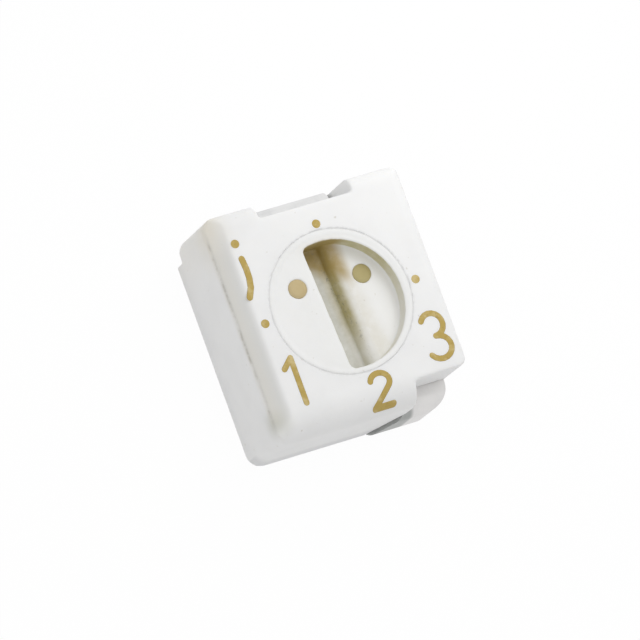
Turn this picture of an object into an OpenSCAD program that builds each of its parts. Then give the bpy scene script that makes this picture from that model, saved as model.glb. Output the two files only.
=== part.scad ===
// Single-turn surface-mount trimmer potentiometer of the 4 mm class, with J-hook terminals.
// The origin is on the rotor axis at the seating plane. +Z is up, +Y points to the centre terminal.
// The rotor stands at the middle of its travel.

/* [Housing] */
// Width of the body along X
body_w = 4.5; // [4.5:0.1:6]
// Depth of the body along Y
body_d = 4.9; // [4.8:0.1:6]
// Height of the top face above the seating plane
body_h = 2.44; // [2.4:0.02:3.4]
// Radius of the upright corners
corner_r = 0.3; // [0.1:0.01:0.4]
// Thickness of the wall between the outside and the film chamber
wall_t = 0.22; // [0.15:0.01:0.24]
// Width of the bevel along the left top edge
bevel_w = 0.38; // [0.1:0.02:0.5]
// Drop of the bevel along the left top edge
bevel_h = 0.24; // [0.1:0.02:0.4]
// Radius of the front top edge, left of the open terminal bay
front_r = 0.62; // [0.1:0.02:0.7]
// Radius of the right and back top edges
edge_r = 0.3; // [0.05:0.01:0.4]
// Width and depth of the fine parting groove under the left bevel
groove_t = 0.04; // [0.02:0.01:0.08]
// Thickness of the left and right walls beside the film chamber
side_wall = 0.35; // [0.3:0.01:0.4]

/* [Terminal bays] */
// Depth of the terminal bays behind the front face
front_bay_d = 0.46; // [0.42:0.01:0.48]
// Depth of the terminal bay behind the back face
back_bay_d = 0.32; // [0.28:0.01:0.4]
// Width of the open bay at the front right
open_bay_w = 1.3; // [1.2:0.01:1.4]
// Radius of the inner corners of the bay in the back face
bay_corner_r = 0.05; // [0.03:0.01:0.1]
// Height up to which the open bay's edge is cut slantwise
bay_cut_h = 1.38; // [1.35:0.01:1.6]
// Sideways run of the slanted cut
bay_cut_w = 0.52; // [0.5:0.01:0.6]

/* [Base] */
// Height of the base frame
frame_h = 0.36; // [0.3:0.02:0.5]
// Clearance between the base frame and the housing's skirt
frame_gap = 0.02; // [0.01:0.01:0.06]
// Distance that the lower part of the skirt stops short of the back face
skirt_setback = 0.42; // [0.34:0.02:0.46]
// Width of the ledge on the base frame that carries the substrate
ledge_w = 0.16; // [0.1:0.01:0.3]
// Gap between the terminal feet and the parts above them
foot_gap = 0.02; // [0.01:0.01:0.1]

/* [Rotor] */
// Radius of the rotor's round head
head_r = 1.54; // [1.5:0.01:1.6]
// Running clearance between the rotor and the housing
run_gap = 0.015; // [0.01:0.005:0.06]
// Distance that the rotor's top lies below the top face
head_sink = 0.02; // [0:0.01:0.1]
// Height of the flange that keeps the rotor in the housing
flange_h = 0.15; // [0.1:0.01:0.17]
// Distance that the flange stands out past the head
flange_lip = 0.1; // [0.08:0.01:0.14]
// Distance that the stop lug stands out past the flange
lug_reach = 0.13; // [0.08:0.01:0.16]
// Angle that the stop lug covers
lug_angle = 40; // [20:1:60]
// Full angle that the rotor turns between its stops
travel_angle = 210; // [180:1:260]

/* [Driver recess] */
// Radius of the D-shaped recess
recess_r = 1.37; // [1.3:0.01:1.4]
// Distance that the recess lies off the rotor axis, towards the front
recess_y = 0.05; // [0:0.01:0.08]
// Distance from the rotor axis to the flat side of the recess
flat_x = 0.35; // [0.2:0.01:0.5]
// Turn of the flat side about the rotor axis
recess_turn = 3; // [-10:1:10]
// Depth of the recess floor
recess_h = 0.37; // [0.2:0.01:0.5]
// Radius of the two corners of the recess
recess_corner_r = 0.13; // [0.05:0.01:0.3]
// Depth of the driver slot beside the flat side
slot_h = 0.68; // [0.5:0.01:0.7]
// Width of the flat floor of the driver slot
slot_w = 0.56; // [0.4:0.01:0.6]

/* [Wiper and pins] */
// Radius of the two pins that carry the wiper
pin_r = 0.19; // [0.1:0.01:0.19]
// Distance from the rotor axis to each pin along X
pin_x = 0.8; // [0.78:0.01:0.9]
// Distance from the rotor axis to each pin along Y
pin_y = 0.5; // [0.3:0.01:0.6]
// Clearance round each pin
pin_gap = 0.01; // [0.005:0.005:0.03]
// Thickness of the staked head of each pin
stake_t = 0.03; // [0.02:0.01:0.06]
// Thickness of the wiper's spring sheet
wiper_t = 0.05; // [0.03:0.01:0.08]
// Width of the wiper's rim past the pin holes
wiper_rim = 0.06; // [0.04:0.01:0.1]
// Inner radius of the wiper's ring
wiper_hole_r = 0.5; // [0.3:0.01:0.6]
// Width of one contact finger
finger_w = 0.12; // [0.08:0.01:0.16]
// Distance between the middles of neighbouring fingers
finger_pitch = 0.18; // [0.18:0.01:0.3]
// Number of fingers that run on the resistive track
finger_count = 3; // [1:1:4]
// Gap left under the contact tips
contact_gap = 0.01; // [0.01:0.005:0.03]
// Room between the films and the rotor
wiper_room = 0.16; // [0.15:0.01:0.18]

/* [Seal ring] */
// Thickness of the seal ring's round section
ring_d = 0.16; // [0.12:0.01:0.18]
// Clearance between the seal ring and what lies round it
ring_gap = 0.01; // [0.005:0.005:0.03]

/* [Substrate and films] */
// Thickness of the ceramic substrate
sub_t = 0.68; // [0.5:0.02:0.7]
// Clearance round the substrate
sub_gap = 0.04; // [0.02:0.01:0.1]
// Thickness of the printed films
film_t = 0.02; // [0.01:0.005:0.03]
// Middle radius of the resistive track
track_r = 1.28; // [1.2:0.01:1.32]
// Width of the resistive track
track_w = 0.32; // [0.2:0.01:0.36]
// Angle of resistive track past each end of the wiper's travel
track_spare = 15; // [5:1:20]
// Angle that each end pad carries on along the arc
pad_angle = 30; // [20:1:32]
// Length of each end pad along Y at the front edge
pad_l = 0.57; // [0.5:0.01:0.6]
// Radius of the collector disc
collector_r = 0.4; // [0.2:0.01:0.6]
// Width of the collector's lead
lead_w = 0.5; // [0.3:0.01:0.8]
// Radius of the plated holes
via_r = 0.11; // [0.06:0.01:0.12]

/* [Terminals] */
// Width of the left and right terminals
term_w = 1.55; // [1:0.05:1.6]
// Width of the centre terminal
centre_w = 2; // [1.4:0.05:2.2]
// Thickness of the terminal strip
term_t = 0.12; // [0.08:0.01:0.14]
// Distance from each side face to the edge of the end terminal beside it
term_edge = 0.255; // [0.2:0.005:0.3]
// Clearance between a terminal and the housing
term_gap = 0.02; // [0.01:0.01:0.03]
// Distance that the right and centre hooks stand out past the front and back faces
term_reach = 0.07; // [0.04:0.01:0.1]
// Outer radius of the bends of the right and centre hooks
bend_r = 0.33; // [0.2:0.01:0.36]
// Radius of the right hook's outer corner, seen from above
tongue_r = 0.5; // [0.3:0.05:0.6]
// Distance that the left hook lies behind the front face
term_sink = 0.14; // [0.12:0.01:0.16]
// Outer radius of the bends of the left hook
sunk_bend_r = 0.2; // [0.16:0.01:0.22]
// Length of the foot under the body
foot_l = 0.7; // [0.4:0.05:1]
// Length of terminal that lies on the film pad
tab_l = 0.24; // [0.12:0.01:0.26]
// Height of the solder fillet
solder_h = 0.09; // [0.05:0.01:0.12]

/* [Hidden] */

cut = 1;            // how far a cutting shape runs past what it cuts
round_fn = 96;      // faces of the large round forms
small_fn = 32;      // faces of the small round forms

half_w = body_w / 2;
half_d = body_d / 2;

// Levels, from the seating plane up
frame_z = term_t + foot_gap;
sub_z = frame_z + frame_h;
film_z = sub_z + sub_t;
tab_z = film_z + film_t;
tab_top = tab_z + term_t;
rotor_z = tab_z + wiper_room;
flange_top = rotor_z + flange_h;
neck_top = flange_top + ring_d + ring_gap;
rotor_top = body_h - head_sink;
recess_z = rotor_top - recess_h;
slot_z = rotor_top - slot_h;

// Walls and the film chamber between them
front_wall_y = half_d - front_bay_d;
back_wall_y = half_d - back_bay_d;
chamber_x = half_w - side_wall;
chamber_front = wall_t - front_wall_y;
chamber_back = back_wall_y - wall_t;
sub_front = -chamber_front - sub_gap;
sub_back = chamber_back - sub_gap;
window_inset = sub_gap + ledge_w;

// Terminals and their bays
bay_x = half_w - open_bay_w;
term_x = half_w - term_edge - term_w / 2;
hook_y = half_d + term_reach;
sunk_hook_y = half_d - term_sink;
slit_w = term_w + 2 * term_gap;
centre_slit_w = centre_w + 2 * term_gap;
bay_w = centre_slit_w + 2 * bay_corner_r;

// Rotor and stops
bore_r = head_r + run_gap;
neck_r = head_r - ring_d - ring_gap;
ring_r = neck_r + ring_gap + ring_d / 2;
flange_r = head_r + flange_lip;
lug_r = flange_r + lug_reach;
stop_r = lug_r + run_gap;
free_angle = travel_angle + lug_angle;
wiper_r = norm([pin_x, pin_y]) + pin_r + pin_gap + wiper_rim;

// Films
track_in = track_r - track_w / 2;
track_out = track_r + track_w / 2;
track_angle = travel_angle + 2 * track_spare;
front_tab = sub_front - tab_l;
back_tab = sub_back - tab_l;
via_y = sub_back - tab_l / 2;

// Solid with the plan of a rounded rectangle from corner a to corner b
module rounded_slab(a, b, r, z, h) {
    translate([0, 0, z]) linear_extrude(h) {
        translate([a[0] + r, a[1]]) square([b[0] - a[0] - 2 * r, b[1] - a[1]]);
        translate([a[0], a[1] + r]) square([b[0] - a[0], b[1] - a[1] - 2 * r]);
        for (x = [a[0] + r, b[0] - r], y = [a[1] + r, b[1] - r])
            translate([x, y]) circle(r, $fn = small_fn);
    }
}

// Box from its lowest corner to its highest corner
module block(low, high) {
    translate(low) cube(high - low);
}

// Part of a flat ring that covers an angle, centred on +Y
module arc_band(r_in, r_out, angle, z, h) {
    rotate([0, 0, 90 - angle / 2])
        rotate_extrude(angle = angle, $fn = round_fn)
            translate([r_in, z]) square([r_out - r_in, h]);
}

// Film chamber between two levels, with its four walls moved inwards
module chamber(inset, low_z, high_z) {
    block([-chamber_x + inset, chamber_front + inset, low_z],
          [chamber_x - inset, chamber_back - inset, high_z]);
}

// Room beside the slanted lower edge of the open bay, narrowed by a clearance
module slanted_room(gap) {
    edge_x = bay_x - bay_cut_w + gap;
    translate([0, -front_wall_y, 0]) rotate([90, 0, 0]) linear_extrude(front_bay_d + cut)
        polygon([[edge_x, -cut], [edge_x, frame_z], [bay_x + gap, bay_cut_h],
                 [half_w + cut, bay_cut_h], [half_w + cut, -cut]]);
}

// What the upright corner at the right end of the front wall loses when it is rounded
module wall_corner() {
    translate([half_w - corner_r, corner_r - front_wall_y, -cut]) linear_extrude(body_h + 2 * cut)
        difference() {
            translate([0, -corner_r - cut]) square(corner_r + cut);
            circle(corner_r, $fn = small_fn);
        }
}

// Slit for a terminal through the wall on the +Y side, from the end of its tab to the wall's outside
module terminal_slit(x, width, tab_y, wall_y) {
    block([x - width / 2, tab_y, tab_z - term_gap],
          [x + width / 2, wall_y + cut / 10, tab_top + term_gap]);
}

// Room for the three hooks: the open front bay, the closed front pocket and the back bay
module terminal_bays() {
    // Open bay at the front right
    block([bay_x, -half_d - cut, -cut], [half_w + cut, -front_wall_y, body_h + cut]);
    slanted_room(0);
    wall_corner();
    // Pocket behind the front face at the left
    block([-term_x - slit_w / 2, -sunk_hook_y - term_gap, -cut],
          [-term_x + slit_w / 2, -front_wall_y + cut / 10, tab_top + term_gap]);
    // Bay in the middle of the back
    rounded_slab([-bay_w / 2, back_wall_y], [bay_w / 2, half_d + cut], bay_corner_r, -cut, body_h + 2 * cut);
    terminal_slit(0, centre_slit_w, back_tab, back_wall_y);
    mirror([0, 1, 0]) for (x = [-term_x, term_x]) terminal_slit(x, slit_w, front_tab, front_wall_y);
}

// Rotor opening with the room that the stop lug sweeps
module rotor_opening() {
    translate([0, 0, rotor_z - cut / 10]) cylinder(r = bore_r, h = body_h, $fn = round_fn);
    room_h = flange_top + run_gap - film_z;
    translate([0, 0, film_z]) cylinder(r = flange_r + run_gap, h = room_h, $fn = round_fn);
    arc_band(flange_r - run_gap, stop_r, free_angle, film_z, room_h);
}

// What a rounding of radius r takes off a top edge that runs along +X and faces -Y
module edge_rounding(r, length) {
    translate([0, r, body_h - r]) rotate([90, 0, 90]) linear_extrude(length) difference() {
        translate([-r - cut, 0]) square(r + cut);
        circle(r, $fn = round_fn);
    }
}

// Bevel on the left top edge, the fine groove under it and the round front, right and back top edges
module top_edge_cuts() {
    bevel_x = -half_w + bevel_w;
    bevel_z = body_h - bevel_h;
    translate([0, half_d + cut, 0]) rotate([90, 0, 0]) linear_extrude(body_d + 2 * cut)
        polygon([[-half_w - cut, bevel_z], [-half_w, bevel_z], [bevel_x, body_h],
                 [bevel_x, body_h + cut], [-half_w - cut, body_h + cut]]);
    block([-half_w - cut, -half_d - cut, bevel_z - groove_t], [-half_w + groove_t, half_d + cut, bevel_z]);
    translate([-half_w - cut, -half_d, 0]) edge_rounding(front_r, half_w + cut + bay_x);
    translate([half_w, -half_d - cut, 0]) rotate([0, 0, 90]) edge_rounding(edge_r, body_d + 2 * cut);
    translate([half_w + cut, half_d, 0]) rotate([0, 0, 180]) edge_rounding(edge_r, body_w + 2 * cut);
}

// Moulded housing with its skirt, open below
module housing() {
    color("ivory") difference() {
        rounded_slab([-half_w, -half_d], [half_w, half_d], corner_r, frame_z, body_h - frame_z);
        chamber(0, -cut, rotor_z);
        block([-half_w - cut, half_d - skirt_setback, -cut], [half_w + cut, half_d + cut, sub_z]);
        rotor_opening();
        terminal_bays();
        top_edge_cuts();
    }
}

// Frame inside the skirt, with a window and a ledge for the substrate
module base_frame() {
    color("ivory") difference() {
        chamber(frame_gap, frame_z, sub_z);
        chamber(window_inset, frame_z - cut, sub_z + cut);
    }
}

// Cast sealing compound that fills the frame's window under the substrate
module base_seal() {
    color("dimgray") chamber(window_inset, frame_z + foot_gap, sub_z - film_t);
}

// Ceramic plate with two plated holes
module substrate() {
    color("white") difference() {
        chamber(sub_gap, sub_z, film_z);
        for (y = [0, via_y])
            translate([0, y, sub_z - cut]) cylinder(r = via_r, h = sub_t + 2 * cut, $fn = small_fn);
    }
}

// Printed resistive arc
module resistive_track() {
    color("black") arc_band(track_in, track_out, track_angle, film_z, film_t);
}

// Conductor at one end of the track, carried on to the front edge; side is -1 at the left
module end_pad(side) {
    pad_turn = (track_angle + pad_angle) / 2;
    color("silver") {
        rotate([0, 0, -side * pad_turn]) arc_band(track_in, track_out, pad_angle, film_z, film_t);
        mirror([side < 0 ? 1 : 0, 0, 0])
            block([track_in / 2, sub_gap - sub_front, film_z],
                  [term_x + track_w, sub_gap - sub_front + pad_l, tab_z]);
    }
}

module end_pad_left() {
    end_pad(-1);
}

module end_pad_right() {
    end_pad(1);
}

// Central disc under the wiper, led through two plated holes to the back edge
module collector() {
    window_back = chamber_back - window_inset;
    color("silver") {
        translate([0, 0, film_z]) cylinder(r = collector_r, h = film_t, $fn = small_fn);
        for (y = [0, via_y])
            translate([0, y, sub_z - film_t / 2]) cylinder(r = via_r, h = sub_t + film_t, $fn = small_fn);
        block([-lead_w / 2, -lead_w / 2, sub_z - film_t], [lead_w / 2, window_back, sub_z]);
        block([-via_r, window_back - via_r, sub_z - film_t / 2], [via_r, via_y, sub_z]);
        block([-centre_w / 2, back_tab, film_z], [centre_w / 2, sub_back, tab_z]);
    }
}

// Quarter of a flat ring in the plane with outer radius r, right of its centre and above or below it
module quarter_bend(r, above) {
    intersection() {
        difference() {
            circle(r, $fn = small_fn);
            circle(r - term_t, $fn = small_fn);
        }
        translate([0, above ? 0 : -r]) square(r);
    }
}

// J-hook strip that leaves the body towards +Y from its tab's end at tab_y, turns down at end_y
// with bends of radius r and comes back under the body
module hook(width, tab_y, end_y, r) {
    bend_y = end_y - r;
    color("silver") translate([-width / 2, 0, 0]) rotate([90, 0, 90]) linear_extrude(width) {
        translate([tab_y, tab_z]) square([bend_y - tab_y, term_t]);
        translate([bend_y, tab_top - r]) quarter_bend(r, true);
        translate([end_y - term_t, r]) square([term_t, tab_top - 2 * r]);
        translate([bend_y, r]) quarter_bend(r, false);
        translate([end_y - foot_l, 0]) square([foot_l - r, term_t]);
    }
}

module terminal_left() {
    translate([-term_x, 0, 0]) mirror([0, 1, 0]) hook(term_w, front_tab, sunk_hook_y, sunk_bend_r);
}

// The right hook stands in the open bay, cut slantwise beside the front face. Seen from above,
// its outer corner is round.
module terminal_right() {
    tongue_x = term_x + term_w / 2 - tongue_r;
    color("silver") difference() {
        translate([term_x, 0, 0]) mirror([0, 1, 0]) hook(term_w, front_tab, hook_y, bend_r);
        difference() {
            block([0, -hook_y - cut, frame_z], [half_w, -front_wall_y, body_h]);
            slanted_room(term_gap);
        }
        translate([tongue_x, tongue_r - hook_y, -cut]) linear_extrude(tab_top + 2 * cut)
            difference() {
                translate([0, -tongue_r - cut]) square(tongue_r + cut);
                circle(tongue_r, $fn = round_fn);
            }
    }
}

module terminal_centre() {
    hook(centre_w, back_tab, hook_y, bend_r);
}

// Solder fillet against the inner end of a terminal
module solder(width, tab_y) {
    color("gainsboro") intersection() {
        translate([2 * solder_h - width / 2, tab_y, tab_z]) rotate([0, 90, 0])
            cylinder(r = solder_h, h = width - 4 * solder_h, $fn = small_fn);
        block([-width, tab_y - solder_h, tab_z], [width, tab_y, tab_top]);
    }
}

module solder_left() {
    translate([-term_x, 0, 0]) mirror([0, 1, 0]) solder(term_w, front_tab);
}

module solder_right() {
    translate([term_x, 0, 0]) mirror([0, 1, 0]) solder(term_w, front_tab);
}

module solder_centre() {
    solder(centre_w, back_tab);
}

// Plan of the D-shaped recess, with its two corners rounded
module recess_plan(r) {
    cx = -flat_x + recess_corner_r;
    cy = sqrt(pow(r - recess_corner_r, 2) - cx * cx);
    tx = cx * r / (r - recess_corner_r);
    ty = cy * r / (r - recess_corner_r);
    difference() {
        intersection() {
            circle(r, $fn = round_fn);
            translate([-flat_x, -r]) square([2 * r, 2 * r]);
        }
        for (side = [-1, 1])
            polygon([[-flat_x - cut, side * cy], [cx, side * cy], [tx, side * ty],
                     [tx, side * (ty + cut)], [-flat_x - cut, side * (ty + cut)]]);
    }
    for (side = [-1, 1])
        translate([cx, side * cy]) circle(recess_corner_r, $fn = small_fn);
}

// Section of the driver slot: a flat floor beside the flat wall, and an edge that rolls over to
// the recess floor
module slot_section() {
    roll_r = slot_h - recess_h;
    difference() {
        translate([-flat_x, slot_z]) square([slot_w + roll_r, slot_h]);
        translate([-flat_x + slot_w + roll_r, slot_z]) circle(roll_r, $fn = small_fn * 2);
    }
}

// D-shaped recess with the deep driver slot along its flat side
module driver_recess() {
    rotate([0, 0, recess_turn]) translate([0, -recess_y, 0]) {
        translate([0, 0, recess_z]) linear_extrude(recess_h + cut) recess_plan(recess_r);
        intersection() {
            translate([0, 0, slot_z]) linear_extrude(slot_h + cut) recess_plan(recess_r);
            translate([0, head_r, 0]) rotate([90, 0, 0]) linear_extrude(2 * head_r) slot_section();
        }
    }
}

// Turned form of the rotor with its stop lug, recess and pin holes
module rotor() {
    color("ivory") difference() {
        union() {
            translate([0, 0, rotor_z]) cylinder(r = flange_r, h = flange_h, $fn = round_fn);
            translate([0, 0, rotor_z]) cylinder(r = neck_r, h = rotor_top - rotor_z, $fn = round_fn);
            translate([0, 0, neck_top]) cylinder(r = head_r, h = rotor_top - neck_top, $fn = round_fn);
            arc_band(neck_r, lug_r, lug_angle, rotor_z, flange_h);
        }
        driver_recess();
        for (side = [-1, 1])
            translate([side * pin_x, pin_y, rotor_z - cut])
                cylinder(r = pin_r + pin_gap, h = body_h + cut, $fn = small_fn);
    }
}

// Slanted contact finger from its root at a distance along Y to its tip
module finger(root_y, tip_y) {
    tip_z = tab_z + contact_gap;
    root_z = rotor_z - wiper_t;
    rotate([90, 0, 90]) linear_extrude(finger_w, center = true)
        polygon([[root_y, root_z], [tip_y, tip_z], [tip_y, tip_z + wiper_t], [root_y, rotor_z]]);
}

// Spring sheet under the rotor, with fingers on the track and one on the collector
module wiper() {
    plate_z = rotor_z - wiper_t;
    color("goldenrod") {
        difference() {
            translate([0, 0, plate_z]) cylinder(r = wiper_r, h = wiper_t, $fn = round_fn);
            translate([0, 0, plate_z - cut]) cylinder(r = wiper_hole_r, h = 2 * cut, $fn = small_fn);
            for (side = [-1, 1])
                translate([side * pin_x, pin_y, plate_z - cut])
                    cylinder(r = pin_r + pin_gap, h = 2 * cut, $fn = small_fn);
            block([-finger_pitch * finger_count / 2, (wiper_hole_r + wiper_r) / 2, plate_z - cut],
                  [finger_pitch * finger_count / 2, wiper_r + cut, rotor_z + cut]);
        }
        for (i = [0 : finger_count - 1])
            translate([(i - (finger_count - 1) / 2) * finger_pitch, 0, 0])
                finger((wiper_hole_r + wiper_r) / 2, track_r);
        finger(-wiper_hole_r, 0);
    }
}

// Pin through the rotor that carries the wiper; its upper end shows in the rotor's face
module wiper_pin(side, top_z) {
    low_z = rotor_z - wiper_t;
    color("tan") translate([side * pin_x, pin_y, 0]) {
        translate([0, 0, low_z]) cylinder(r = pin_r, h = top_z - low_z, $fn = small_fn);
        translate([0, 0, low_z - stake_t]) cylinder(r = pin_r + stake_t, h = stake_t, $fn = small_fn);
    }
}

module wiper_pin_left() {
    wiper_pin(-1, rotor_top);
}

module wiper_pin_right() {
    wiper_pin(1, recess_z);
}

// Rubber ring in the groove under the rotor's head
module seal_ring() {
    color("darkslategray") rotate_extrude($fn = round_fn)
        translate([ring_r, flange_top + ring_gap / 2 + ring_d / 2]) circle(ring_d / 2, $fn = small_fn);
}

housing();
base_frame();
base_seal();
substrate();
resistive_track();
end_pad_left();
end_pad_right();
collector();
terminal_left();
terminal_right();
terminal_centre();
solder_left();
solder_right();
solder_centre();
rotor();
wiper();
wiper_pin_left();
wiper_pin_right();
seal_ring();
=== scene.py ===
"""Dresses a small surface-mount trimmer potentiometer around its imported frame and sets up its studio."""
from __future__ import annotations

import logging
import math
from dataclasses import dataclass, field, replace
from enum import Enum

import bmesh
import bpy
from mathutils import Matrix, Vector


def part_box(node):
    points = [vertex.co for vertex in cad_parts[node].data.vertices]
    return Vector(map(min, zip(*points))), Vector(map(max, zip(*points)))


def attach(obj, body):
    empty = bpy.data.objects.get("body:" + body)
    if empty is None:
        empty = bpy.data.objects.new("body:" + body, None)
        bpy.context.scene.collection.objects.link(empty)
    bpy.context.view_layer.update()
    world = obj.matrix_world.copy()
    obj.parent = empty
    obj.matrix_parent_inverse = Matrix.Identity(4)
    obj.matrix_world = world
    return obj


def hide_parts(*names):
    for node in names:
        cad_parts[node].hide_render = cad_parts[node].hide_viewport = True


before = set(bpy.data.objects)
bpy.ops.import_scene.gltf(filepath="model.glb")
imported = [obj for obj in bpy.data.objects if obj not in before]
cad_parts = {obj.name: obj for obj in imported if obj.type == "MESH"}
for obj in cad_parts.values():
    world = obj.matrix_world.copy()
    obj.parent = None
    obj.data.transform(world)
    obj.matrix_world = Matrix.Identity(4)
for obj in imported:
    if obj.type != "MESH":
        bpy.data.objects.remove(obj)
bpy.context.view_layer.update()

LOG = logging.getLogger("trimmer")
MM = 0.001
FACE_Z = 2.44  # the housing's face, in millimetres
SEAM_R = 1.55  # the middle of the seam between housing and rotor
SEAM_HALF = 0.0005  # half the width of that seam
ROTOR_DROP = 0.003  # how far the rotor's rim lies below the face
MERGE_MM = 1e-4  # vertices nearer than this are one
SMOOTH_FACTOR = 0.5  # how far each smoothing pass moves a vertex towards its neighbours
SEAT_REACH = 1.02  # how far from a rim's wall or top a vertex is still put onto it, in mesh sizes
SEAT_SOFTNESS = 0.9  # a vertex that is softer than this is never put onto the rim
MIX_FACTOR, MIX_A, MIX_B, MIX_RESULT = 0, 6, 7, 2  # the Mix node's sockets for colours

Color = tuple[float, float, float]
Place = tuple[float, float, float]
Point = tuple[float, float]
Socket = bpy.types.NodeSocket


class Axis(Enum):
    """One axis of a vector, by its place in the vector."""

    X = 0
    Y = 1
    Z = 2


class Body(Enum):
    """The rigid bodies of the part."""

    CASE = "case"
    ROTOR = "rotor"


class Slot(Enum):
    """The record's material slots that new pieces take. CAD nodes keep theirs."""

    HOUSING = "housing_plastic"
    ROTOR = "rotor_plastic"
    PIN = "pin_plastic"


# Node graphs


@dataclass(frozen=True)
class Cloud:
    """A noise texture, and the two values between which patches of it fade in."""

    scale: float  # features for each millimetre
    detail: float = 3.0
    roughness: float = 0.55
    low: float = 0.0
    high: float = 1.0


class Graph:
    """A short way to place and link the nodes of one node tree."""

    def __init__(self, tree: bpy.types.NodeTree) -> None:
        """Keeps the node tree that receives the nodes."""
        self.tree = tree

    def add(self, kind: str, **settings: object) -> bpy.types.Node:
        """Adds one node.

        Args:
            kind: the node's type name.
            settings: values of the node's own properties.

        Returns:
            The new node.
        """
        node = self.tree.nodes.new(kind)
        for key, value in settings.items():
            setattr(node, key, value)
        return node

    def feed(self, socket: Socket, value: object) -> None:
        """Links a socket to a socket, or sets its value.

        Args:
            socket: the input to fill.
            value: an output socket, a number, a vector or a colour.
        """
        if isinstance(value, bpy.types.NodeSocket):
            self.tree.links.new(value, socket)
        elif socket.type == "RGBA" and len(value) == 3:
            socket.default_value = (*value, 1.0)
        else:
            socket.default_value = value

    def math(self, operation: str, a: object, b: object = 0.0, c: object = 0.0,
             clamp: bool = False) -> Socket:
        """Does one arithmetic step.

        Args:
            operation: the Math node's operation.
            a: the first number.
            b: the second number.
            c: the third number.
            clamp: whether the result is kept between 0 and 1.

        Returns:
            The result.
        """
        node = self.add("ShaderNodeMath", operation=operation, use_clamp=clamp)
        for socket, value in zip(node.inputs, (a, b, c)):
            self.feed(socket, value)
        return node.outputs[0]

    def rise(self, value: object, low: float, high: float) -> Socket:
        """Makes a soft step.

        Args:
            value: what is stepped.
            low: the value at which the step is 0.
            high: the value at which it is 1, which may be the smaller of the two.

        Returns:
            The step.
        """
        node = self.add("ShaderNodeMapRange", interpolation_type="SMOOTHSTEP", clamp=True)
        self.feed(node.inputs["Value"], value)
        node.inputs["From Min"].default_value = min(low, high)
        node.inputs["From Max"].default_value = max(low, high)
        node.inputs["To Min"].default_value = 0.0 if low < high else 1.0
        node.inputs["To Max"].default_value = 1.0 if low < high else 0.0
        return node.outputs["Result"]

    def band(self, value: object, middle: float, half_width: float) -> Socket:
        """Returns a soft mask that is 1 where value is at middle and 0 a half width away."""
        away = self.math("ABSOLUTE", self.math("SUBTRACT", value, middle))
        return self.rise(away, half_width, 0.0)

    def past(self, value: object, line: float, offsets: Point) -> Socket:
        """Returns a soft step beside a line: 0 at the first offset from it and 1 at the second."""
        return self.rise(value, line + offsets[0], line + offsets[1])

    def between(self, share: object, low: float, high: float) -> Socket:
        """Returns low where the share is 0, high where it is 1, and what lies between elsewhere."""
        return self.math("MULTIPLY_ADD", share, high - low, low)

    def about(self, middle: float, spread: float, share: object) -> Socket:
        """Returns a value that a share moves about a middle, by the spread to each side at most."""
        return self.between(share, middle - spread, middle + spread)

    def product(self, *factors: object) -> Socket:
        """Multiplies.

        Args:
            factors: two or more numbers or sockets.

        Returns:
            Their product.
        """
        result = factors[0]
        for factor in factors[1:]:
            result = self.math("MULTIPLY", result, factor)
        return result

    def mix(self, factor: object, a: object, b: object) -> Socket:
        """Mixes two colours.

        Args:
            factor: the share of the second one.
            a: the first colour.
            b: the second colour.

        Returns:
            The mixed colour.
        """
        node = self.add("ShaderNodeMix", data_type="RGBA")
        self.feed(node.inputs[MIX_FACTOR], factor)
        self.feed(node.inputs[MIX_A], a)
        self.feed(node.inputs[MIX_B], b)
        return node.outputs[MIX_RESULT]

    def noise(self, vector: Socket, cloud: Cloud) -> Socket:
        """Makes a noise texture.

        Args:
            vector: the place in millimetres.
            cloud: its grain.

        Returns:
            A cloudy value from 0 to 1.
        """
        node = self.add("ShaderNodeTexNoise")
        self.feed(node.inputs["Vector"], vector)
        node.inputs["Scale"].default_value = cloud.scale
        node.inputs["Detail"].default_value = cloud.detail
        node.inputs["Roughness"].default_value = cloud.roughness
        return node.outputs["Fac"]

    def patches(self, vector: Socket, cloud: Cloud) -> Socket:
        """Returns a mask of soft patches, which fade in between the cloud's low and high values."""
        return self.rise(self.noise(vector, cloud), cloud.low, cloud.high)

    def millimetres(self) -> Socket:
        """Reads the object's own coordinates.

        Returns:
            The place in millimetres.
        """
        node = self.add("ShaderNodeVectorMath", operation="SCALE")
        self.feed(node.inputs[0], self.add("ShaderNodeTexCoord").outputs["Object"])
        node.inputs["Scale"].default_value = 1.0 / MM
        return node.outputs[0]

    def stretched(self, vector: Socket, scale: Vector) -> Socket:
        """Scales each part of a vector by its own factor.

        Args:
            vector: the vector.
            scale: the three factors.

        Returns:
            The scaled vector.
        """
        node = self.add("ShaderNodeVectorMath", operation="MULTIPLY")
        self.feed(node.inputs[0], vector)
        node.inputs[1].default_value = scale
        return node.outputs[0]

    def turned(self, vector: Socket, degrees: float) -> Socket:
        """Turns a vector about the Z axis.

        Args:
            vector: the vector.
            degrees: how far.

        Returns:
            The turned vector.
        """
        node = self.add("ShaderNodeVectorRotate", rotation_type="Z_AXIS")
        self.feed(node.inputs["Vector"], vector)
        node.inputs["Angle"].default_value = math.radians(degrees)
        return node.outputs["Vector"]

    def part(self, vector: Socket, axis: Axis) -> Socket:
        """Takes one part of a vector.

        Args:
            vector: the vector.
            axis: which part.

        Returns:
            That part.
        """
        node = self.add("ShaderNodeSeparateXYZ")
        self.feed(node.inputs[0], vector)
        return node.outputs[axis.value]

    def facing_up(self) -> Socket:
        """Returns how far the surface faces up or down: 1 on level faces, 0 on upright ones."""
        normal = self.add("ShaderNodeNewGeometry").outputs["Normal"]
        return self.math("ABSOLUTE", self.part(normal, Axis.Z))

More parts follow.
